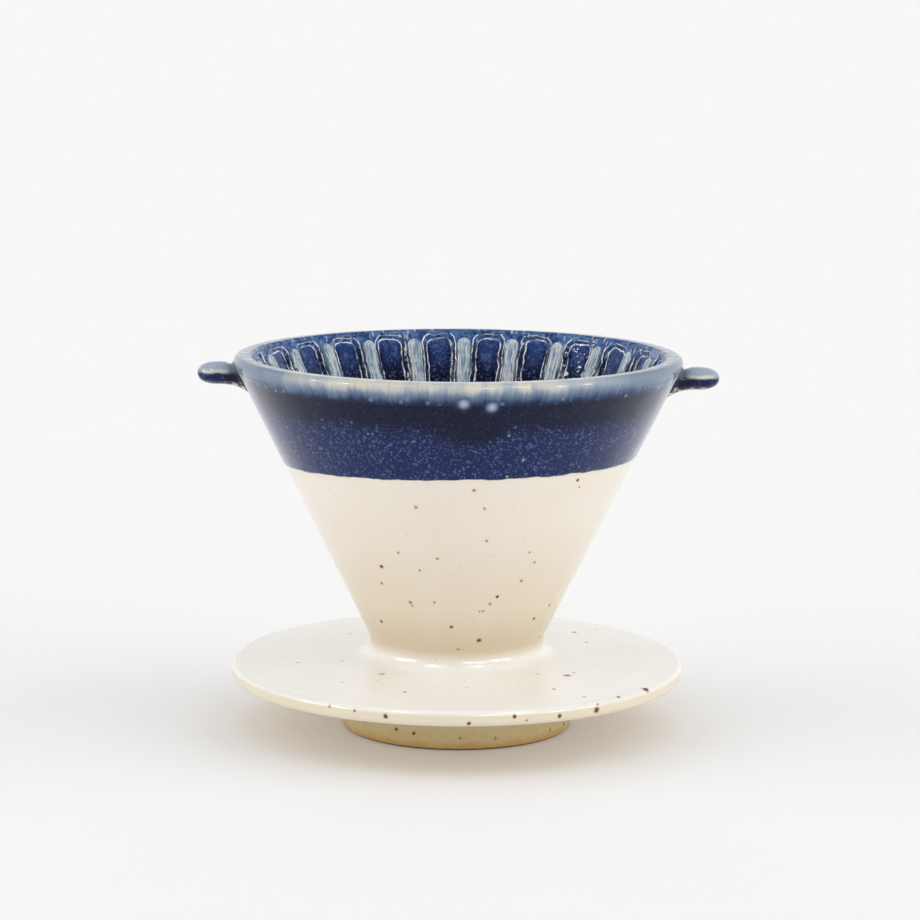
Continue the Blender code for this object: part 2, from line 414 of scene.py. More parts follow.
def shoulder_depth(x, along):
    """How far inside the shoulder a point lies. Negative is in the panel."""
    in_side = SHOULDER - x + CORNER
    in_band = CORNER - along
    corner = math.hypot(max(in_side, 0), max(in_band, 0)) + min(max(in_side, in_band), 0) - CORNER
    if along < 10:
        return corner
    past_end = max(0.0, along - (RIB_END - SHOULDER * NARROW)) / NARROW
    return min(corner, SHOULDER - math.hypot(x, past_end))


def crest_depth(x, along):
    over_top = max(0.0, CREST_TOP + CREST - along)
    past_end = max(0.0, along - (RIB_END - (SHOULDER - 0.2) * NARROW)) / NARROW
    return CREST - math.hypot(x, over_top + past_end)


def crest_height(depth):
    share = min(1.0, max(0.0, depth / CREST))
    dome = math.sqrt(1 - (1 - share) ** 2.4)
    return CREST_RISE * dome


def rib_height(x, along):
    wobble = 0.10 * noise.noise(Vector((x * 0.25, along * 0.22, 3.0)))
    flat = step_height(shoulder_depth(x, along) + wobble)
    return (flat + crest_height(crest_depth(x, along) + wobble)) * (0.55 + 0.45 * taper(along))


def panel_depth(place):
    """How far a point inside the cone lies past a panel's edge, in mm. Negative is in the panel."""
    if is_outside(place):
        return NO_PANEL
    along = (STEP_TOP - place.z) / math.cos(LEAN)
    turned = math.atan2(place.y, place.x) - FIRST_RIB
    pitch = 2 * math.pi / RIB_COUNT
    off_rib = (turned + pitch / 2) % pitch - pitch / 2
    sideways = abs(off_rib) * place.xy.length / taper(along)
    return shoulder_depth(sideways, along)


remember(cone, "panel", panel_depth)
print("rib half width at the top", SHOULDER, "and at its end", round(SHOULDER * NARROW, 2))

# %% Press the first rib
TALLEST = STEP_RISE + CREST_RISE
bpy.ops.mesh.primitive_grid_add(x_subdivisions=len(across) - 1, y_subdivisions=len(down) - 1, size=MM)
rib = bpy.context.object
rib.name = rib.data.name = "rib_pressed"
weights = rib.vertex_groups.new(name="height")
for vertex in rib.data.vertices:
    row, column = divmod(vertex.index, len(across))
    x, along = across[column], down[row]
    vertex.co = Vector((x, along, 0)) * MM
    weights.add([vertex.index], rib_height(abs(x), along) / TALLEST, "REPLACE")
raise_up = rib.modifiers.new("raise", "DISPLACE")
raise_up.vertex_group = "height"
raise_up.strength = TALLEST * MM
raise_up.mid_level = 0.0
raise_up.direction = "Z"
bpy.ops.object.modifier_apply(modifier="raise")
tell(rib)

# %% Trim it, close its back, and lay it on the wall
bpy.ops.object.mode_set(mode="EDIT")
pick(rib, "FACE", lambda co: co.z < 0.012)
bpy.ops.mesh.delete(type="FACE")
bpy.ops.mesh.select_all(action="SELECT")
bpy.ops.mesh.region_to_loop()
bpy.ops.mesh.extrude_region_move(TRANSFORM_OT_translate={"value": (0, 0, -1.0 * MM)})
bpy.ops.mesh.edge_face_add()
bpy.ops.object.mode_set(mode="OBJECT")
remember(rib, "crest", lambda p: crest_depth(abs(p.x), p.y))
remember(rib, "panel", lambda p: shoulder_depth(abs(p.x), p.y))
remember(rib, "lug", lambda p: NO_LUG)
for vertex in rib.data.vertices:
    place = vertex.co / MM
    x = place.x * taper(place.y)
    vertex.co = on_inner_wall(x, place.y, place.z - SUNK) * MM
close_up(rib, gap=0.001)
remember(rib, "above_dip", above_inner_dip)
remember(rib, "lip", lambda p: 0.0)
remember(rib, "inside", lambda p: 1.0)
tell(rib)

# %% [markdown]
# ## All the ribs
#
# Each rib is a copy with its own mesh, turned to its place. Two noises then push its points about by
# a tenth or two of a millimetre, because no two ribs that a hand has smoothed are quite the same. A
# noise of directions starts from the clock unless it is given a number, so it is given one here, and
# the ribs come out the same each time.

# %% Copy it round the cone
noise.seed_set(7)
ribs = []
for i in range(RIB_COUNT):
    copy = rib.copy()
    copy.data = rib.data.copy()
    copy.name = copy.data.name = f"rib_pressed_{i + 1:02d}"
    bpy.context.collection.objects.link(copy)
    copy.data.transform(Matrix.Rotation(FIRST_RIB + i * 2 * math.pi / RIB_COUNT, 4, "Z"))
    for vertex in copy.data.vertices:
        sway = noise.noise_vector(vertex.co / MM * 0.11) * 0.22
        ripple = noise.noise_vector(vertex.co / MM * 0.45) * 0.07
        vertex.co += (sway + ripple) * MM
    remember(copy, "above_dip", above_inner_dip)
    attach(copy, "root")
    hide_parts(f"rib_{i + 1:02d}")
    ribs.append(copy)
bpy.data.objects.remove(rib, do_unlink=True)
print("ribs", len(ribs))

# %% [markdown]
# ## The saucer
#
# The saucer is turned too. Its top falls a little towards the edge, so that spilt coffee runs off.
# Its collar meets the cone in a wide soft fillet, whose thin upper edge runs just under the cone's
# skin so that no line shows. The two could be joined with a boolean and a bevel, but that would make
# one piece of them.

# %% Turn the saucer
collar = 25.6
fillet_foot = 19.1
saucer_edge = 17.35  # height of the top at the edge
saucer_shoulder = Vector((50.0, 18.05))  # where the top turns to fall, as (radius, height)
tuck = 0.06  # how far the collar's edge runs under the cone's skin
collar_root = 0.8
saucer = outline(
    "saucer_glazed",
    [
        (wall_radius(SAUCER_UNDER, -collar_root), SAUCER_UNDER, 0, 0),
        (SAUCER_RADIUS, SAUCER_UNDER, 1.6, 0),
        (SAUCER_RADIUS, saucer_edge, 1.4, 10),
        (*saucer_shoulder, 6.0, 30),
        (wall_radius(fillet_foot), fillet_foot, 4.4, 0),
        (wall_radius(collar + 4, -tuck), collar + 4, 0, 0),
        (wall_radius(collar + 4, -collar_root), collar + 4, 0, 0),
    ],
)
turn(saucer, 360)
tell(saucer)
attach(saucer, "root")
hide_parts("saucer_plate")

# %% [markdown]
# ## The foot ring
#
# The ring stands on the table. Its lower edges are wiped round with a sponge, and its top runs into
# the saucer with a small fillet.

# %% Turn the foot
FOOT_INSIDE = FOOT_RADIUS - 4.8
FOOT_FILLET = 1.6
SET_IN = 0.6  # how far the ring is set into the saucer
foot = outline(
    "foot_glazed",
    [
        (FOOT_RADIUS, 0.0, 1.1, 10),
        (FOOT_RADIUS, SAUCER_UNDER, 1.2, 0),
        (FOOT_RADIUS + FOOT_FILLET, SAUCER_UNDER, 0, 0),
        (FOOT_RADIUS + FOOT_FILLET, SAUCER_UNDER + SET_IN, 0, 0),
        (FOOT_INSIDE - FOOT_FILLET, SAUCER_UNDER + SET_IN, 0, 0),
        (FOOT_INSIDE - FOOT_FILLET, SAUCER_UNDER, 0, 0),
        (FOOT_INSIDE, SAUCER_UNDER, 1.2, 10),
        (FOOT_INSIDE, 0.0, 1.1, 1),
    ],
)
turn(foot, 240)
tell(foot)
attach(foot, "root")
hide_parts("foot_ring")

# %% [markdown]
# ## The lugs
#
# Each lug is pulled from a ball of clay and pressed to the rim, so it spreads into the wall and ends
# in a round nose. A ring of points is extruded outwards and resized again and again, and the points
# nearest the wall are then laid on it.

# %% A lug's sections
LUG_REACH = 67.8
LUG_HEIGHTS = {"lug_right": 92.3, "lug_left": 93.0}
LUG_SIZES = [  # out from the wall, half the width, half the height
    (-1.5, 6.6, 4.6),
    (0.0, 6.0, 4.3),
    (0.5, 5.2, 3.75),
    (1.1, 4.60, 3.30),
    (1.9, 4.28, 3.02),
    (2.9, 4.22, 2.90),
    (4.2, 4.34, 2.94),
    (5.6, 4.46, 2.98),
    (7.0, 4.38, 2.96),
    (8.2, 4.12, 2.84),
    (9.2, 3.72, 2.60),
    (10.0, 3.20, 2.25),
    (10.6, 2.60, 1.85),
    (11.05, 1.90, 1.33),
    (11.32, 1.10, 0.76),
    (11.42, 0.35, 0.24),
]
print("lug sections", len(LUG_SIZES))

# %% Pull a lug


def lay_on_wall(obj, root, reach=5.0):
    """Wraps the lug's root round the wall and lets it sag by 1 mm, both fading out along it."""
    for vertex in obj.data.vertices:
        place = vertex.co / MM
        on_wall = math.sqrt(max(0.0, wall_radius(place.z) ** 2 - place.y**2)) - root
        follow = 1 - smooth_share(place.x - root, 0.0, reach)
        vertex.co.x += on_wall * follow * MM
        vertex.co.z -= follow * MM


def pull_lug(name, side, height):
    """side is 1 on the right and -1 on the left."""
    root = wall_radius(height)
    stretch = (LUG_REACH - root) / LUG_SIZES[-1][0]
    bpy.ops.mesh.primitive_circle_add(vertices=48, radius=MM, rotation=(0, math.pi / 2, 0))
    bpy.ops.object.transform_apply(rotation=True)
    obj = bpy.context.object
    obj.name = obj.data.name = name
    bpy.ops.object.mode_set(mode="EDIT")
    bpy.ops.mesh.select_all(action="SELECT")
    out, wide, tall = LUG_SIZES[0]
    bpy.ops.transform.resize(value=(1, wide, tall))
    bpy.ops.transform.translate(value=((root + out * stretch) * MM, 0, height * MM))
    for before, now in zip(LUG_SIZES, LUG_SIZES[1:]):
        step = (now[0] - before[0]) * stretch * MM
        bpy.ops.mesh.extrude_region_move(TRANSFORM_OT_translate={"value": (step, 0, 0)})
        growth = (1, now[1] / before[1], now[2] / before[2])
        centre = ((root + now[0] * stretch) * MM, 0, height * MM)
        bpy.ops.transform.resize(value=growth, center_override=centre)
    bpy.ops.mesh.edge_face_add()
    bpy.ops.mesh.poke()
    bpy.ops.object.mode_set(mode="OBJECT")
    lay_on_wall(obj, root)
    if side < 0:
        obj.data.transform(Matrix.Rotation(math.pi, 4, "Z"))
    bpy.ops.object.mode_set(mode="EDIT")
    bpy.ops.mesh.select_all(action="SELECT")
    bpy.ops.mesh.region_to_loop()
    bpy.ops.mesh.edge_face_add()
    bpy.ops.object.mode_set(mode="OBJECT")
    close_up(obj, gap=0.001)
    tell(obj)
    return obj


lugs = []
for name, side in (("lug_right", 1), ("lug_left", -1)):
    height = LUG_HEIGHTS[name]
    lug = pull_lug(name + "_glazed", side, height)
    remember(lug, "above_dip", lambda p: 20.0)
    remember(lug, "lug", lambda p: (p.z - height) / 3.0)
    for absent, value in (("lip", 0.0), ("inside", 0.0), ("crest", NO_CREST), ("panel", NO_PANEL)):
        remember(lug, absent, lambda p: value)
    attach(lug, "root")
    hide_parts(name)
    lugs.append(lug)

# %% [markdown]
# ## Mixing glazes
#
# A glaze is a recipe of nodes. To keep the recipes readable, one small class makes a node, links
# what goes into it and gives back what comes out, so a line of a recipe reads like a sum.

# %% A recipe book for nodes


class Recipe:
    def __init__(self, name):
        self.material = bpy.data.materials.new(name)
        self.material.use_nodes = True
        self.tree = self.material.node_tree
        self.shader = self.tree.nodes["Principled BSDF"]
        coordinates = self.tree.nodes.new("ShaderNodeTexCoord").outputs["Object"]
        self.place = self.vector("SCALE", coordinates, scale=1 / MM)
        split = self.make("SeparateXYZ")
        self.put(split.inputs[0], self.place)
        self.sideways = split.outputs["X"]
        self.height = split.outputs["Z"]

    def put(self, socket, value):
        if isinstance(value, bpy.types.NodeSocket):
            self.tree.links.new(value, socket)
        elif isinstance(value, tuple) and len(value) == 3 and socket.type == "RGBA":
            socket.default_value = (*value, 1.0)
        else:
            socket.default_value = value

    def set(self, **constants):
        """Sets plain numbers on the shader itself, where the export can read them."""
        for words, value in constants.items():
            self.shader.inputs[SHADER_SOCKETS.get(words, words)].default_value = value

    def make(self, kind, **settings):
        made = self.tree.nodes.new("ShaderNode" + kind)
        for key, value in settings.items():
            setattr(made, key, value)
        return made

    def sum(self, operation, *values):
        made = self.make("Math", operation=operation)
        for socket, value in zip(made.inputs, values):
            self.put(socket, value)
        return made.outputs[0]

    def times(self, *values):
        product = values[0]
        for value in values[1:]:
            product = self.sum("MULTIPLY", product, value)
        return product

    def most(self, *values):
        largest = values[0]
        for value in values[1:]:
            largest = self.sum("MAXIMUM", largest, value)
        return largest

    def swing(self, noise, amount):
        """A noise about 0.5 made a push that goes both ways."""
        return self.times(self.sum("SUBTRACT", noise, 0.5), amount)

    def vector(self, operation, *values, scale=None):
        made = self.make("VectorMath", operation=operation)
        for socket, value in zip(made.inputs, values):
            self.put(socket, value)
        if scale is not None:
            self.put(made.inputs["Scale"], scale)
        return made.outputs["Value" if operation in ("DISTANCE", "LENGTH") else "Vector"]

    def stored(self, name):
        return self.make("Attribute", attribute_name=name).outputs["Fac"]

    def noise(self, size, where=None, detail=3.0, rough=0.5):
        """Soft random numbers about 0.5, whose blobs are about size mm across."""
        made = self.make("TexNoise")
        self.put(made.inputs["Vector"], where or self.place)
        made.inputs["Scale"].default_value = 1.0 / size
        made.inputs["Detail"].default_value = detail
        made.inputs["Roughness"].default_value = rough
        return made.outputs["Fac"]

    def grains(self, size, where=None):
        """Distance to the nearest of many scattered points that are about size mm apart."""
        made = self.make("TexVoronoi")
        self.put(made.inputs["Vector"], where or self.place)
        made.inputs["Scale"].default_value = 1.0 / size
        return made.outputs["Distance"]

    def window(self, value, low, high, start=0.0, end=1.0):
        """Goes softly from start to end while the value goes from low to high."""
        made = self.make("MapRange", interpolation_type="SMOOTHSTEP")
        for socket, number in zip(made.inputs, (value, low, high, start, end)):
            self.put(socket, number)
        return made.outputs["Result"]

    def line(self, field, at, half_width):
        """1 on the line where a field of distances passes a value."""
        away = self.sum("ABSOLUTE", self.sum("SUBTRACT", field, at))
        return self.window(away, half_width * 1.5, half_width * 0.5)

    def blend(self, share, first, second):
        made = self.make("Mix", data_type="RGBA")
        self.put(made.inputs["Factor"], share)
        self.put(made.inputs[6], first)
        self.put(made.inputs[7], second)
        return made.outputs[2]

    def bump(self, height, strength, distance, under=None):
        made = self.make("Bump")
        self.put(made.inputs["Height"], height)
        made.inputs["Strength"].default_value = strength
        made.inputs["Distance"].default_value = distance * MM
        if under:
            self.put(made.inputs["Normal"], under)
        return made.outputs["Normal"]

    def streaky(self, stretch):
        """The place with its height squeezed, so that a pattern runs down the wall in streaks."""
        flat = self.vector("MULTIPLY", self.place, (1.0, 1.0, 0.0))
        ring = self.vector("SCALE", self.vector("NORMALIZE", flat), scale=50.0)
        upright = self.vector("MULTIPLY", self.place, (0.0, 0.0, 1.0 / stretch))
        return self.vector("ADD", ring, upright)


SHADER_SOCKETS = {
    "roughness": "Roughness",
    "ior": "IOR",
    "specular": "Specular IOR Level",
    "bloom": "Sheen Weight",
    "bloom_roughness": "Sheen Roughness",
    "bloom_tint": "Sheen Tint",
    "glow": "Emission Strength",
    "glow_colour": "Emission Color",
}


def display(*channels):
    """The linear colour for what a paint card calls red, green and blue from 0 to 255."""
    return tuple((c / 255 / 12.92) if c < 11 else ((c / 255 + 0.055) / 1.055) ** 2.4 for c in channels)


print("a paint card's mid grey is", round(display(128)[0], 3))

# %% [markdown]
# ## Iron specks
#
# Bits of iron in the clay melt through the glaze as dark specks with a rusty halo. Most are scattered
# at random by a Voronoi texture, faint freckles among them. The ones that catch the eye are placed
# one by one, because a person notices where the few largest are. The place is first pushed about by
# a fine noise, so that no speck is a neat disc.

# %% Specks, scattered and placed
IRON = display(78, 38, 20)
RUST = display(190, 134, 78)
LARGE_SPECK = 0.85  # width from which a speck has a black heart, mm


def on_circle(degrees, radius, height):
    """A place on the pot, from its angle round it, its radius and its height."""
    bearing = math.radians(degrees)
    return (radius * math.sin(bearing), -radius * math.cos(bearing), height)


def nearest_speck(mix, specks, where):
    """The smallest distance to any listed speck, counted in that speck's own half width."""
    nearest = None
    for degrees, radius, height, width in specks:
        to_centre = mix.vector("DISTANCE", where, on_circle(degrees, radius, height))
        away = mix.sum("DIVIDE", to_centre, width / 2)
        nearest = mix.sum("MINIMUM", nearest, away) if nearest else away
    return nearest


def speckle(mix, colour, specks):
    """Faint freckles, scattered specks and the placed ones, each with a rusty halo."""
    ragged = mix.make("TexNoise")
    mix.put(ragged.inputs["Vector"], mix.place)
    ragged.inputs["Scale"].default_value = 1.6
    push = mix.vector("SUBTRACT", ragged.outputs["Color"], (0.5, 0.5, 0.5))
    where = mix.vector("ADD", mix.place, mix.vector("SCALE", push, scale=0.55))
    freckle = mix.grains(3.4, where)
    speck = mix.grains(9.5, where)
    large = nearest_speck(mix, [item for item in specks if item[3] >= LARGE_SPECK], where)
    small = nearest_speck(mix, [item for item in specks if item[3] < LARGE_SPECK], where)
    for share, iron_or_rust in (
        (mix.window(freckle, 0.10, 0.03, 0.0, 0.45), RUST),
        (mix.window(small, 1.9, 0.6, 0.0, 0.75), RUST),
        (mix.window(small, 0.9, 0.4, 0.0, 0.6), IRON),
        (mix.window(speck, 0.085, 0.030, 0.0, 0.5), RUST),
        (mix.window(speck, 0.044, 0.028, 0.0, 0.7), IRON),
        (mix.window(large, 1.8, 0.9, 0.0, 0.55), RUST),
        (mix.window(large, 1.15, 0.65, 0.0, 0.95), IRON),
    ):
        colour = mix.blend(share, colour, iron_or_rust)
    return colour


CONE_SPECKS = [  # degrees from the front, height, width
    (-14, 65, 0.7),
    (9, 65, 0.7),
    (11, 56, 0.7),
    (-24, 52, 0.7),
    (-34, 47.5, 1.1),
    (-8, 51, 0.7),
    (-16, 47.5, 0.6),
    (30, 52, 0.6),
    (34, 49, 0.7),
    (30, 44, 0.8),
    (19.5, 40, 0.9),
    (16.5, 38, 0.8),
    (13.5, 36, 0.6),
    (11.5, 36, 0.5),
    (-3, 31.5, 0.9),
    (13.5, 27.5, 1.2),
    (1, 25, 0.7),
    (41, 71, 0.9),
    (43, 69, 0.6),
    (48, 32, 0.9),
    (66, 25.5, 0.8),
    (58, 35, 0.8),
    (-23.5, 38, 0.8),
    (-23, 37, 0.6),
    (-11, 38.5, 0.6),
    (-48, 31, 0.9),
    (-37, 42.5, 0.7),
]
print("specks placed on the cone", len(CONE_SPECKS))

# %% [markdown]
# ## The cream glaze
#
# Cream over iron-bearing stoneware is warm and even, a little browner low down on the cone, and
# brownest where the cone meets the saucer: partly pooled glaze, partly painted shade in that crease.
# A painted picture of it would be simpler, but it would show a seam and blur close up. Colours that
# follow the height, with a slow noise over them, have neither fault. The skin is glassy and very
# slightly uneven.

# %% Cream on the cone
CREAM_HIGH = display(233, 225, 213)
CREAM_LOW = display(222, 209, 187)
# Brownest cream, where the cone meets the saucer: pooled glaze and painted shade in the crease.
CREAM_POOL_AND_SHADE = display(200, 181, 147)


def cream_colour(mix):
    """Browner low down, and darkest where the cone meets the saucer: pooled glaze and painted shade.
    """
    cloud = mix.noise(16.0, detail=2.0)
    colour = mix.blend(mix.window(mix.height, 66.0, 34.0, 0.0, 0.9), CREAM_HIGH, CREAM_LOW)
    colour = mix.blend(mix.window(cloud, 0.35, 0.75, 0.0, 0.2), colour, CREAM_LOW)
    # Pooled glaze and painted shade where the cone meets the saucer.
    return mix.blend(mix.window(mix.height, 38.0, 25.0, 0.0, 0.6), colour, CREAM_POOL_AND_SHADE)


def glassy_skin(mix, under=None):
    """Slow swells from the glaze's own weight, and a fine orange-peel over them."""
    swell = mix.bump(mix.noise(9.0, detail=1.0), 0.35, 0.35, under=under)
    mix.put(mix.shader.inputs["Normal"], mix.bump(mix.noise(0.9, detail=2.0), 0.10, 0.05, under=swell))


def cream_finish(mix):
    mix.set(roughness=0.22, ior=1.5)
    glassy_skin(mix)


# %% [markdown]
# ## The cobalt glaze: its colours
#
# The blue is thick and dark where it pools, cobalt where it is thinner, and breaks to pale blue-grey
# and cream over the lip, the crests of the ribs and the edges of the panels. Zinc and rutile float
# in it as fine pale dots. The dots are three sizes of scattered grains, thickest in patches.

# %% Blues, and what they break to
COBALT = display(18, 31, 78)
BRIGHT = display(80, 118, 172)
DEEP = display(34, 60, 116)
INK = display(2, 4, 34)
MIST = display(104, 124, 172)
ICE = display(180, 196, 208)
# White of the painted highlights along the creases.
GLINT = display(240, 242, 246)
CELADON = display(118, 146, 164)
LIP_NAVY = display(48, 68, 106)
LIP_SHADE = display(112, 130, 152)
LIP_BLUE = display(146, 162, 182)
LIP_CREAM = display(209, 206, 193)
BEAD = display(186, 192, 210)
LUG_TOP = display(166, 180, 196)
OCHRE = display(206, 190, 146)


def dotted(mix, colour, amount):
    """Fine pale dots, thickest in patches, and a few larger ones."""
    patch = mix.window(mix.noise(5.0, detail=2.0), 0.38, 0.62, 0.50, 1.0)
    fine = mix.times(mix.window(mix.grains(0.8), 0.48, 0.10, 0.0, 0.55), patch)
    middling = mix.window(mix.grains(2.0), 0.34, 0.03, 0.0, 0.46)
    sparse = mix.window(mix.grains(6.5), 0.09, 0.03, 0.0, 0.55)
    for share, pale in ((fine, MIST), (middling, MIST), (sparse, ICE)):
        colour = mix.blend(mix.times(share, amount), colour, pale)
    return colour


# %% [markdown]
# ## The belt, and the inside
#
# Outside, the glaze ran down from the rim and stopped in a dark belt under the lip. In front it ran
# further, in one drip. The belt is a window on the height, with a foot that a streaky noise makes
# uneven, and the drip is a ball of the same dark colour.
#
# Inside, the band under the rim is a clear mottled blue. The panels below it are deeper, misty in the
# middle, and nearly black low down and beside the ribs.

# %% Dark glaze outside
DRIP = (3.5, -54.0, 133.0)  # its centre, with the height stretched by DRIP_STRETCH
DRIP_STRETCH = 1.5


def belt_share(mix, long_streaks):
    """1 in the dark belt and the drip that hangs from it. The lugs stand outside it."""
    stretched = mix.vector("MULTIPLY", mix.place, (1.0, 1.0, DRIP_STRETCH))
    drip = mix.window(mix.vector("DISTANCE", stretched, DRIP), 14.0, 7.0)
    foot = mix.sum("ADD", 82.5, mix.times(long_streaks, 6.0))
    belt = mix.window(mix.sum("SUBTRACT", mix.height, foot), -3.0, 3.0)
    off_lugs = mix.window(mix.sum("ABSOLUTE", mix.sideways), 62.0, 59.0, 0.35, 1.0)
    return mix.times(mix.most(belt, drip), off_lugs)


# %% Blue inside


def inside_colour(mix, panel):
    """Clear blue on the band, deep in the panels, nearly black low down and beside the ribs."""
    clouds = mix.noise(4.0, detail=3.0)
    low = mix.window(mix.sum("ADD", mix.height, mix.times(clouds, 6.0)), 98.0, 88.0)
    beside = mix.times(mix.window(panel, -2.4, -0.6), mix.window(mix.height, 95.5, 92.0))
    murk = mix.most(low, mix.times(beside, 0.85))
    mottled = mix.blend(mix.window(mix.noise(1.7, detail=3.0), 0.38, 0.62), DEEP, BRIGHT)
    clear = mix.blend(mix.window(mix.height, 94.0, 96.5), DEEP, mottled)
    colour = mix.blend(murk, clear, INK)
    middle = mix.times(mix.window(panel, -1.3, -2.7), mix.window(mix.height, 88.0, 93.0))
    misty = mix.times(middle, mix.window(mix.noise(2.6, detail=3.0), 0.48, 0.68, 0.0, 0.6))
    return mix.blend(misty, colour, MIST)


# %% [markdown]
# ## The lip
#
# On the sharp lip a glaze pulls thin, so the blue fades up from navy through grey-blue. In front and
# behind it breaks to cream with yellow stains. Upright streaks make the fade ragged. Under it hang
# small beads where the runs stopped, and in front two large ones.

# %% Pale lip
CREAM_CENTRE = -5.0  # where across the lip is creamiest, mm from the axis
LARGE_BEADS = ((1.4, 93.3), (8.4, 92.4))  # degrees, height


def over_lip(mix, colour, lip, streaks, long_streaks):
    ragged = mix.sum("ADD", mix.swing(streaks, 0.40), mix.swing(long_streaks, 0.55))
    edge = mix.sum("ADD", lip, mix.times(ragged, mix.window(lip, 0.0, 0.25)))
    colour = mix.blend(mix.window(edge, -0.05, 0.36), colour, LIP_NAVY)
    colour = mix.blend(mix.window(edge, 0.18, 0.62), colour, LIP_SHADE)
    # Painted shade: the pale of the lip turns darker towards the left and right, holding down the
    # bloom seen there from the front.
    off_axis = mix.sum("ABSOLUTE", mix.sideways)
    pale = mix.blend(mix.window(off_axis, 32.0, 50.0, 0.0, 1.0), LIP_BLUE, LIP_SHADE)
    colour = mix.blend(mix.window(edge, 0.52, 0.92), colour, pale)
    off_centre = mix.sum("ABSOLUTE", mix.sum("SUBTRACT", mix.sideways, CREAM_CENTRE))
    clouds = mix.sum("ADD", mix.noise(7.0, detail=2.0), ragged)
    creamy = mix.times(
        mix.window(clouds, 0.30, 0.66, 0.30, 0.95),
        mix.window(off_centre, 46.0, 22.0, 0.12, 1.0),
        mix.window(edge, 0.50, 0.95),
    )
    colour = mix.blend(creamy, colour, LIP_CREAM)
    yellow = mix.times(creamy, mix.window(mix.noise(2.2, detail=1.0), 0.50, 0.70, 0.0, 0.4))
    return mix.blend(yellow, colour, OCHRE)


def with_beads(mix, colour, lip):
    row = mix.times(
        mix.window(lip, 0.01, 0.14),
        mix.window(lip, 0.45, 0.25),
        mix.window(mix.noise(9.0, detail=1.0), 0.42, 0.56, 0.2, 1.0),
    )
    small = mix.times(mix.window(mix.grains(2.1), 0.40, 0.12, 0.0, 0.6), row)
    colour = mix.blend(small, colour, LIP_BLUE)
    for degrees, height in LARGE_BEADS:
        centre = on_circle(degrees, wall_radius(height), height)
        away = mix.vector("DISTANCE", mix.place, centre)
        colour = mix.blend(mix.window(away, 2.6, 1.4, 0.0, 0.6), colour, LIP_NAVY)
        colour = mix.blend(mix.window(away, 1.9, 0.1, 0.0, 0.8), colour, BEAD)
    return colour


# %% [markdown]
# ## Crests, dashes and painted highlights
#
# The ribs' crests break to pale celadon in upright streaks, with cream here and there. On the band
# the blue is full of short pale dashes. Thin white lines round the panels' edges and arcs over the
# crests are painted highlights, standing for the glints that these creases catch. Each is drawn
# where a stored distance passes a value, shaken a little by two noises.

# %% Relief picked out in white


def over_crests(mix, colour, crest, streaks):
    torn = mix.sum("ADD", crest, mix.swing(streaks, 1.6))
    fine_streaks = mix.noise(0.5, where=mix.streaky(8.0))
    streaked = mix.blend(mix.window(fine_streaks, 0.40, 0.60), CELADON, ICE)
    creamed = mix.window(mix.noise(2.5, detail=2.0), 0.52, 0.68, 0.0, 0.6)
    streaked = mix.blend(creamed, streaked, LIP_CREAM)
    return mix.blend(mix.window(torn, -0.25, 0.55, 0.0, 0.95), colour, streaked)


def with_dashes(mix, colour, panel):
    band = mix.times(
        mix.window(panel, -1.5, 0.6),
        mix.window(mix.height, 92.0, 94.5),
        mix.window(mix.noise(3.0, detail=2.0), 0.36, 0.54, 0.15, 1.0),
    )
    dashes = mix.window(mix.grains(1.2, where=mix.streaky(2.5)), 0.36, 0.12, 0.0, 0.85)
    return mix.blend(mix.times(dashes, band), colour, ICE)


# Painted highlights: thin white lines round the panels' edges and in arcs over the crests.
def with_painted_highlights(mix, colour, panel, crest):
    wobble = mix.swing(mix.noise(1.6, detail=2.0), 0.8)
    drift = mix.swing(mix.noise(6.0, detail=1.0), 1.5)
    shake = mix.sum("ADD", wobble, drift)
    panel = mix.sum("ADD", panel, shake)
    crest = mix.sum("ADD", crest, shake)
    round_panel = mix.most(mix.line(panel, 1.0, 0.14), mix.line(panel, -0.35, 0.15))
    on_crest = mix.most(mix.line(crest, 0.45, 0.13), mix.line(crest, 1.25, 0.13))
    painted_highlights = mix.most(round_panel, mix.times(on_crest, 0.8))
    broken = mix.window(mix.noise(2.4, detail=2.0), 0.36, 0.56, 0.12, 1.0)
    return mix.blend(mix.times(painted_highlights, broken), colour, GLINT)


# %% [markdown]
# ## The lugs' glaze
#
# On a lug the blue runs down from its top, which is left pale grey-blue. A cream line across its
# upper front, fading out at both ends, is a painted highlight, and drops of ochre hang underneath.
# The lug's own stored height tells top from bottom.

# %% Blue on the lugs


def over_lugs(mix, colour, lug):
    reach = mix.sum("ABSOLUTE", mix.sideways)
    wavy = mix.sum("ADD", lug, mix.swing(mix.noise(3.0), 0.3))
    topside = mix.times(mix.window(wavy, -0.10, 0.45), mix.window(reach, 58.0, 60.5, 0.25, 0.9))
    colour = mix.blend(topside, colour, LUG_TOP)
    # Painted highlight: a cream line across the lug's upper front, fading out at both ends.
    middle = mix.times(mix.window(reach, 58.5, 61.0), mix.window(reach, 67.5, 65.0, 0.0, 0.85))
    colour = mix.blend(mix.times(mix.line(wavy, 0.25, 0.14), middle), colour, LIP_CREAM)
    spots = mix.window(mix.noise(1.6, detail=1.0), 0.50, 0.60)
    return mix.blend(mix.times(mix.window(lug, -0.55, -0.9), spots), colour, OCHRE)
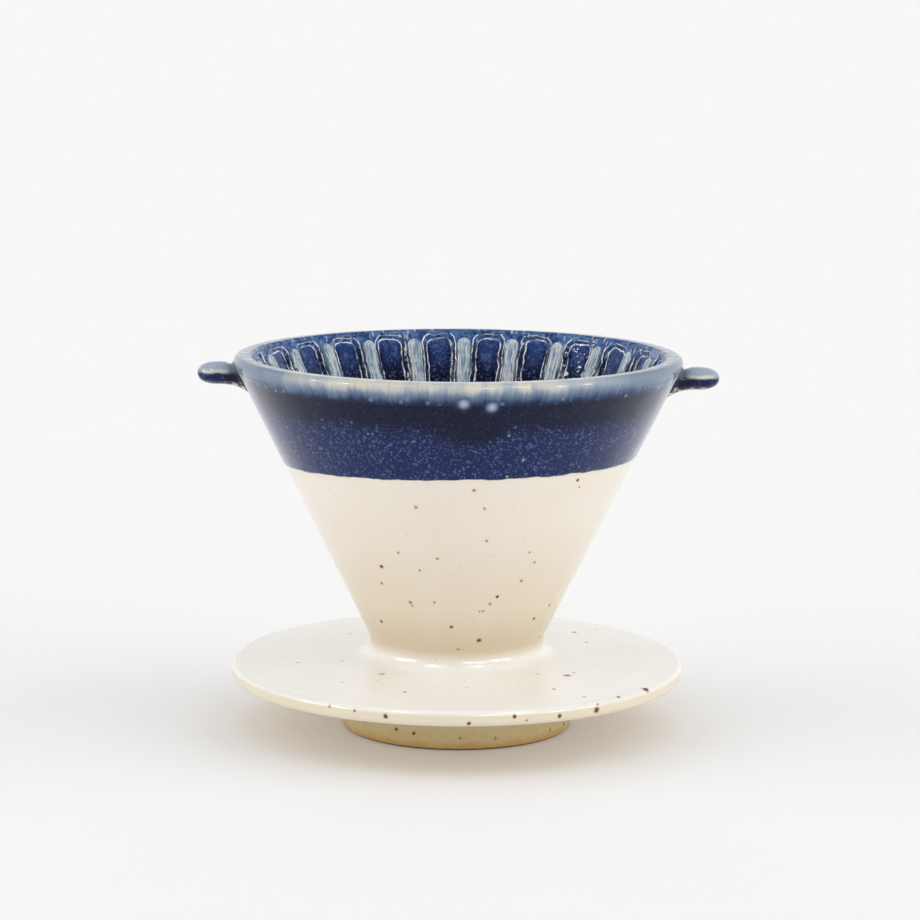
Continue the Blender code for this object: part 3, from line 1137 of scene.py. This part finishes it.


# %% [markdown]
# ## The whole blue, and the cone's two glazes
#
# The parts above are laid on in the order that they would be seen, from the deepest coat to the
# painted highlights on top. The cone carries both glazes. Their meeting line is the stored height
# above the dipped edge, shaken a little, and both materials paint it the same way, so the line can
# cross a face. What changes by face is the finish.

# %% Cobalt, coat by coat


def cobalt_colour(mix):
    lip = mix.stored("lip")
    crest = mix.stored("crest")
    panel = mix.stored("panel")
    inside = mix.stored("inside")
    streaks = mix.noise(0.9, where=mix.streaky(7.0), detail=3.0, rough=0.6)
    long_streaks = mix.noise(5.0, where=mix.streaky(3.0), detail=3.0)
    belt = belt_share(mix, long_streaks)
    outside = mix.blend(mix.times(belt, 0.95), COBALT, INK)
    colour = mix.blend(inside, outside, inside_colour(mix, panel))
    belt_outside = mix.times(belt, mix.sum("SUBTRACT", 1.0, inside))
    colour = dotted(mix, colour, mix.sum("SUBTRACT", 1.0, mix.times(belt_outside, 0.85)))
    colour = over_lip(mix, colour, lip, streaks, long_streaks)
    colour = with_beads(mix, colour, lip)
    colour = over_crests(mix, colour, crest, streaks)
    colour = with_dashes(mix, colour, panel)
    colour = with_painted_highlights(mix, colour, panel, crest)
    return over_lugs(mix, colour, mix.stored("lug"))


def cone_colour(mix):
    """Cream below the dipped edge and cobalt above it."""
    specks = [(degrees, wall_radius(height), height, width) for degrees, height, width in CONE_SPECKS]
    cream = speckle(mix, cream_colour(mix), specks)
    wander = mix.swing(mix.noise(3.5, detail=1.0), 0.8)
    edge = mix.sum("ADD", mix.stored("above_dip"), wander)
    return mix.blend(mix.window(edge, -0.16, 0.14), cream, cobalt_colour(mix))


# %% [markdown]
# ## Finish of the cone's glazes
#
# A thick blue glaze shows a milky bloom at a slant, because light scatters in it. Sheen gives that.
# It is full on the wall, weaker on the lip where the glaze is thin, and nearly none on the rim. It
# has to be a plain number for each material, so the cone has one for each of the three zones, and a
# fourth for the cream. Inside, the thick glaze also has waves.

# %% Cone materials
LIP_ZONE = 4.0  # down from the rim, mm
RIM_ZONE = 1.0


def glaze_cream_side():
    mix = Recipe("cream_glaze")
    mix.put(mix.shader.inputs["Base Color"], cone_colour(mix))
    cream_finish(mix)
    mix.set(bloom=0.4, bloom_roughness=0.30)
    return mix.material


def glaze_cobalt(name, bloom):
    mix = Recipe(name)
    mix.put(mix.shader.inputs["Base Color"], cone_colour(mix))
    mix.set(roughness=0.07, specular=0.18)
    mix.set(bloom=bloom, bloom_roughness=0.31, bloom_tint=(0.88, 0.90, 1.0, 1.0))
    waves = mix.times(mix.noise(3.5, detail=2.0), mix.stored("inside"))
    glassy_skin(mix, under=mix.bump(waves, 0.8, 0.45))
    return mix.material


cobalt_glaze = glaze_cobalt("cobalt_glaze", 1.0)
cone.data.materials.clear()
cone.data.materials.append(glaze_cream_side())
cone.data.materials.append(cobalt_glaze)
cone.data.materials.append(glaze_cobalt("cobalt_glaze_on_lip", 0.35))
cone.data.materials.append(glaze_cobalt("cobalt_glaze_on_rim", 0.08))
heights_over = [item.value for item in cone.data.attributes["above_dip"].data]
for face in cone.data.polygons:
    face.material_index = int(min(heights_over[i] for i in face.vertices) > -0.15)
    down_from_rim = RIM_HEIGHT - face.center.z / MM
    if down_from_rim < RIM_ZONE:
        face.material_index = 3
    elif down_from_rim < LIP_ZONE and is_outside(face.center / MM):
        face.material_index = 2
for piece in [*ribs, *lugs]:
    piece.data.materials.clear()
    piece.data.materials.append(cobalt_glaze)
print("cone materials", [material.name for material in cone.data.materials])

# %% [markdown]
# ## The saucer's and the foot's glaze
#
# On the flat saucer the cream lies thin and nearly white, and turns buff over the edge, where it
# pulls off the clay. Where the collar rises it becomes the cone's cream, so that no line shows. The
# foot ring was dipped last and wiped, so it is thin, greenish and patchy, with bare toasted clay at
# the very bottom. It darkens towards the bottom and ends in a dark brown line, partly painted
# contact shade.

# %% Specks on the saucer and the foot
SAUCER_SPECKS = [  # degrees from the front, radius, height, width
    (-38, 31, 18, 1.9),
    (-33, 37, 18, 0.9),
    (-17, 44, 18, 1.0),
    (-33, 19, 20, 0.8),
    (4, 38, 18, 0.9),
    (24, 38, 18, 0.8),
    (42, 31, 18, 1.4),
    (50, 37, 18, 2.0),
    (59, 22, 18.5, 0.9),
    (75, 20, 20, 0.9),
    (103, 26.5, 18, 1.0),
    (114, 38, 18, 1.2),
    (132, 43, 18, 1.4),
    (33, 45, 18, 1.0),
    (-130, 38, 18, 1.1),
    (-17, 59.2, 15.6, 1.1),
    (3, 59.2, 14.5, 0.9),
    (14, 59.2, 16, 1.0),
    (17, 59.2, 14.8, 0.6),
    (25.5, 59.2, 15.2, 1.1),
    (36, 59.2, 15.4, 1.5),
    (36.5, 59.2, 16.8, 0.6),
    (44, 58.5, 17.6, 1.0),
    (55, 58.5, 17.6, 1.9),
    (-32, 59.2, 16.4, 0.7),
    (-25, 59.2, 16.2, 0.7),
]
FOOT_SPECKS = [
    (-30.5, 30, 4.6, 0.9),
    (-21, 30, 4.1, 0.9),
    (2, 30, 3.4, 0.7),
    (19.5, 30, 3.0, 0.8),
    (54, 30, 2.6, 0.8),
    (69, 30, 2.4, 0.9),
]
print("specks placed below", len(SAUCER_SPECKS) + len(FOOT_SPECKS))

# %% Saucer and foot materials
SAUCER_WHITE = display(246, 244, 239)
SAUCER_CLOUD = display(241, 237, 229)
SAUCER_EDGE = display(224, 214, 191)
SAUCER_UNDERSIDE = display(206, 180, 132)
FOOT_HIGH = display(214, 203, 164)
# Darker low on the foot: partly painted contact shade.
FOOT_LOW = display(200, 182, 134)
FOOT_PATCH = display(212, 198, 156)
TOASTED = display(188, 142, 66)
# Bare clay and painted contact shade at the very bottom edge.
BARE_CLAY_AND_CONTACT_SHADE = display(92, 54, 20)


def glaze_saucer():
    mix = Recipe("cream_on_saucer")
    cloud = mix.noise(22.0, detail=2.0)
    colour = mix.blend(mix.window(cloud, 0.35, 0.7, 0.0, 0.5), SAUCER_WHITE, SAUCER_CLOUD)
    colour = mix.blend(mix.window(mix.height, 17.3, 16.0), colour, SAUCER_EDGE)
    colour = mix.blend(mix.window(mix.height, 13.8, 13.5), colour, SAUCER_UNDERSIDE)
    colour = mix.blend(mix.window(mix.height, 19.5, 24.5), colour, cream_colour(mix))
    mix.put(mix.shader.inputs["Base Color"], speckle(mix, colour, SAUCER_SPECKS))
    cream_finish(mix)
    return mix.material


def glaze_foot():
    mix = Recipe("cream_over_bare_clay")
    patches = mix.noise(4.0, detail=4.0, rough=0.6)
    # Darker towards the bottom, partly painted contact shade.
    colour = mix.blend(mix.window(mix.height, 9.0, 3.0), FOOT_HIGH, FOOT_LOW)
    colour = mix.blend(mix.window(patches, 0.35, 0.65, 0.0, 0.6), colour, FOOT_PATCH)
    warm = mix.sum("SUBTRACT", mix.height, mix.times(patches, 5.0))
    colour = mix.blend(mix.window(warm, 0.5, -1.6, 0.0, 0.75), colour, TOASTED)
    # Dark brown line at the bottom edge: bare clay and painted contact shade.
    colour = mix.blend(mix.window(mix.height, 0.75, 0.35), colour, BARE_CLAY_AND_CONTACT_SHADE)
    mix.put(mix.shader.inputs["Base Color"], speckle(mix, colour, FOOT_SPECKS))
    cream_finish(mix)
    return mix.material


saucer.data.materials.append(glaze_saucer())
foot.data.materials.append(glaze_foot())
print("saucer and foot glazed")

# %% [markdown]
# ## The floor
#
# A pale seamless floor fills the view, as a paper sweep does. It gives off a little light of its own,
# so that it stays evenly white right up to the soft shadow, as well-lit paper does.

# %% Floor
FLOOR_SIZE = 60  # metres, so that no edge shows
PAPER = (0.812, 0.812, 0.812)
PAPER_GRAIN = (0.816, 0.816, 0.816)
bpy.ops.mesh.primitive_plane_add(size=FLOOR_SIZE)
floor = bpy.context.object
floor.name = "studio_floor"
floor_mix = Recipe("pale_paper")
grain = floor_mix.window(floor_mix.noise(40.0, detail=2.0), 0.3, 0.7)
floor_mix.put(floor_mix.shader.inputs["Base Color"], floor_mix.blend(grain, PAPER, PAPER_GRAIN))
floor_mix.set(glow_colour=(1.0, 1.0, 1.0, 1.0), glow=0.14, roughness=0.9, specular=0.1)
floor.data.materials.append(floor_mix.material)
print("floor", FLOOR_SIZE, "m")

# %% [markdown]
# ## The room
#
# Glaze shows what is round it, so the room matters as much as the lamps. It is white at eye level,
# which the flanks of the cone mirror, and dim overhead, which keeps the blue deep. The change is a
# soft step on the height of the ray.

# %% World
EYE_LEVEL = 1.0
OVERHEAD = 0.22
world = bpy.data.worlds.new("white_room")
bpy.context.scene.world = world
world.use_nodes = True
room = world.node_tree
ray = room.nodes.new("ShaderNodeTexCoord").outputs["Generated"]
upward = room.nodes.new("ShaderNodeSeparateXYZ")
room.links.new(ray, upward.inputs[0])
wall_to_ceiling = room.nodes.new("ShaderNodeMapRange")
wall_to_ceiling.interpolation_type = "SMOOTHSTEP"
room.links.new(upward.outputs["Z"], wall_to_ceiling.inputs["Value"])
room_steps = {"From Min": 0.30, "From Max": 0.60, "To Min": EYE_LEVEL, "To Max": OVERHEAD}
for socket, number in room_steps.items():
    wall_to_ceiling.inputs[socket].default_value = number
sky = room.nodes["Background"]
sky.inputs["Color"].default_value = (1.0, 0.995, 0.99, 1.0)
room.links.new(wall_to_ceiling.outputs["Result"], sky.inputs["Strength"])
print("room", EYE_LEVEL, "at eye level and", OVERHEAD, "overhead")

# %% [markdown]
# ## The lamps
#
# Wide fills light the clay from above, from both sides, in front and behind. They are so wide that
# their shadows melt into one. The short bright lines along the glaze's creases come from small
# lamps, four towards the right, two towards the left and two higher up. Each kind does one job: the
# fills don't show in the gloss, and the small lamps show only there.

# %% Lamps


def lamp(name, azimuth, elevation, strength, spread, for_gloss):
    """A far lamp, as seen from the pot: azimuth in degrees from the front towards the right."""
    data = bpy.data.lights.new(name, "SUN")
    data.energy = strength
    data.angle = math.radians(spread)
    obj = bpy.data.objects.new(name, data)
    bearing, up = math.radians(azimuth), math.radians(elevation)
    away = Vector((math.sin(bearing) * math.cos(up), -math.cos(bearing) * math.cos(up), math.sin(up)))
    obj.rotation_euler = away.to_track_quat("Z", "Y").to_euler()
    obj.visible_diffuse = not for_gloss
    obj.visible_glossy = for_gloss
    bpy.context.collection.objects.link(obj)


lamp("overhead_fill", 20, 80, 0.50, 60, False)
lamp("left_fill", -80, 25, 1.12, 70, False)
lamp("right_fill", 80, 25, 1.26, 70, False)
lamp("front_fill", 0, 35, 0.20, 80, False)
lamp("back_fill", 180, 35, 0.45, 80, False)
for i, (azimuth, elevation) in enumerate(((16, 26), (34, 26), (52, 17), (70, 17))):
    lamp(f"right_glint_{i}", azimuth, elevation, 0.60, 9, True)
for i, azimuth in enumerate((-64, -82)):
    lamp(f"left_glint_{i}", azimuth, 26, 0.60, 9, True)
for i, azimuth in enumerate((-42, 42)):
    lamp(f"upper_glint_{i}", azimuth, 58, 0.60, 11, True)
print("lamps", len(bpy.data.lights))

# %% [markdown]
# ## The camera
#
# A long lens from 0.8 m in front, a little above the rim and tilted down, so that the far half of
# the inside shows over the near lip and the saucer shows as a shallow ellipse. The colours are
# shown as they are, without a film curve, because the glazes were mixed as display colours.

# %% Camera
TILT_DOWN = 9.18  # degrees
ROLL = 0.0064  # radians
camera_data = bpy.data.cameras.new("camera")
camera_data.sensor_width = 36.0
camera_data.lens = 120.8
camera_data.clip_end = 200.0
camera = bpy.data.objects.new("camera", camera_data)
camera.location = Vector((0.54, -795.4, 198.9)) * MM
look = Matrix.Rotation(math.radians(90 - TILT_DOWN), 4, "X") @ Matrix.Rotation(ROLL, 4, "Z")
camera.rotation_euler = look.to_euler()
bpy.context.collection.objects.link(camera)
bpy.context.scene.camera = camera
bpy.context.scene.view_settings.view_transform = "Standard"
print("camera at", [round(value, 4) for value in camera.location])
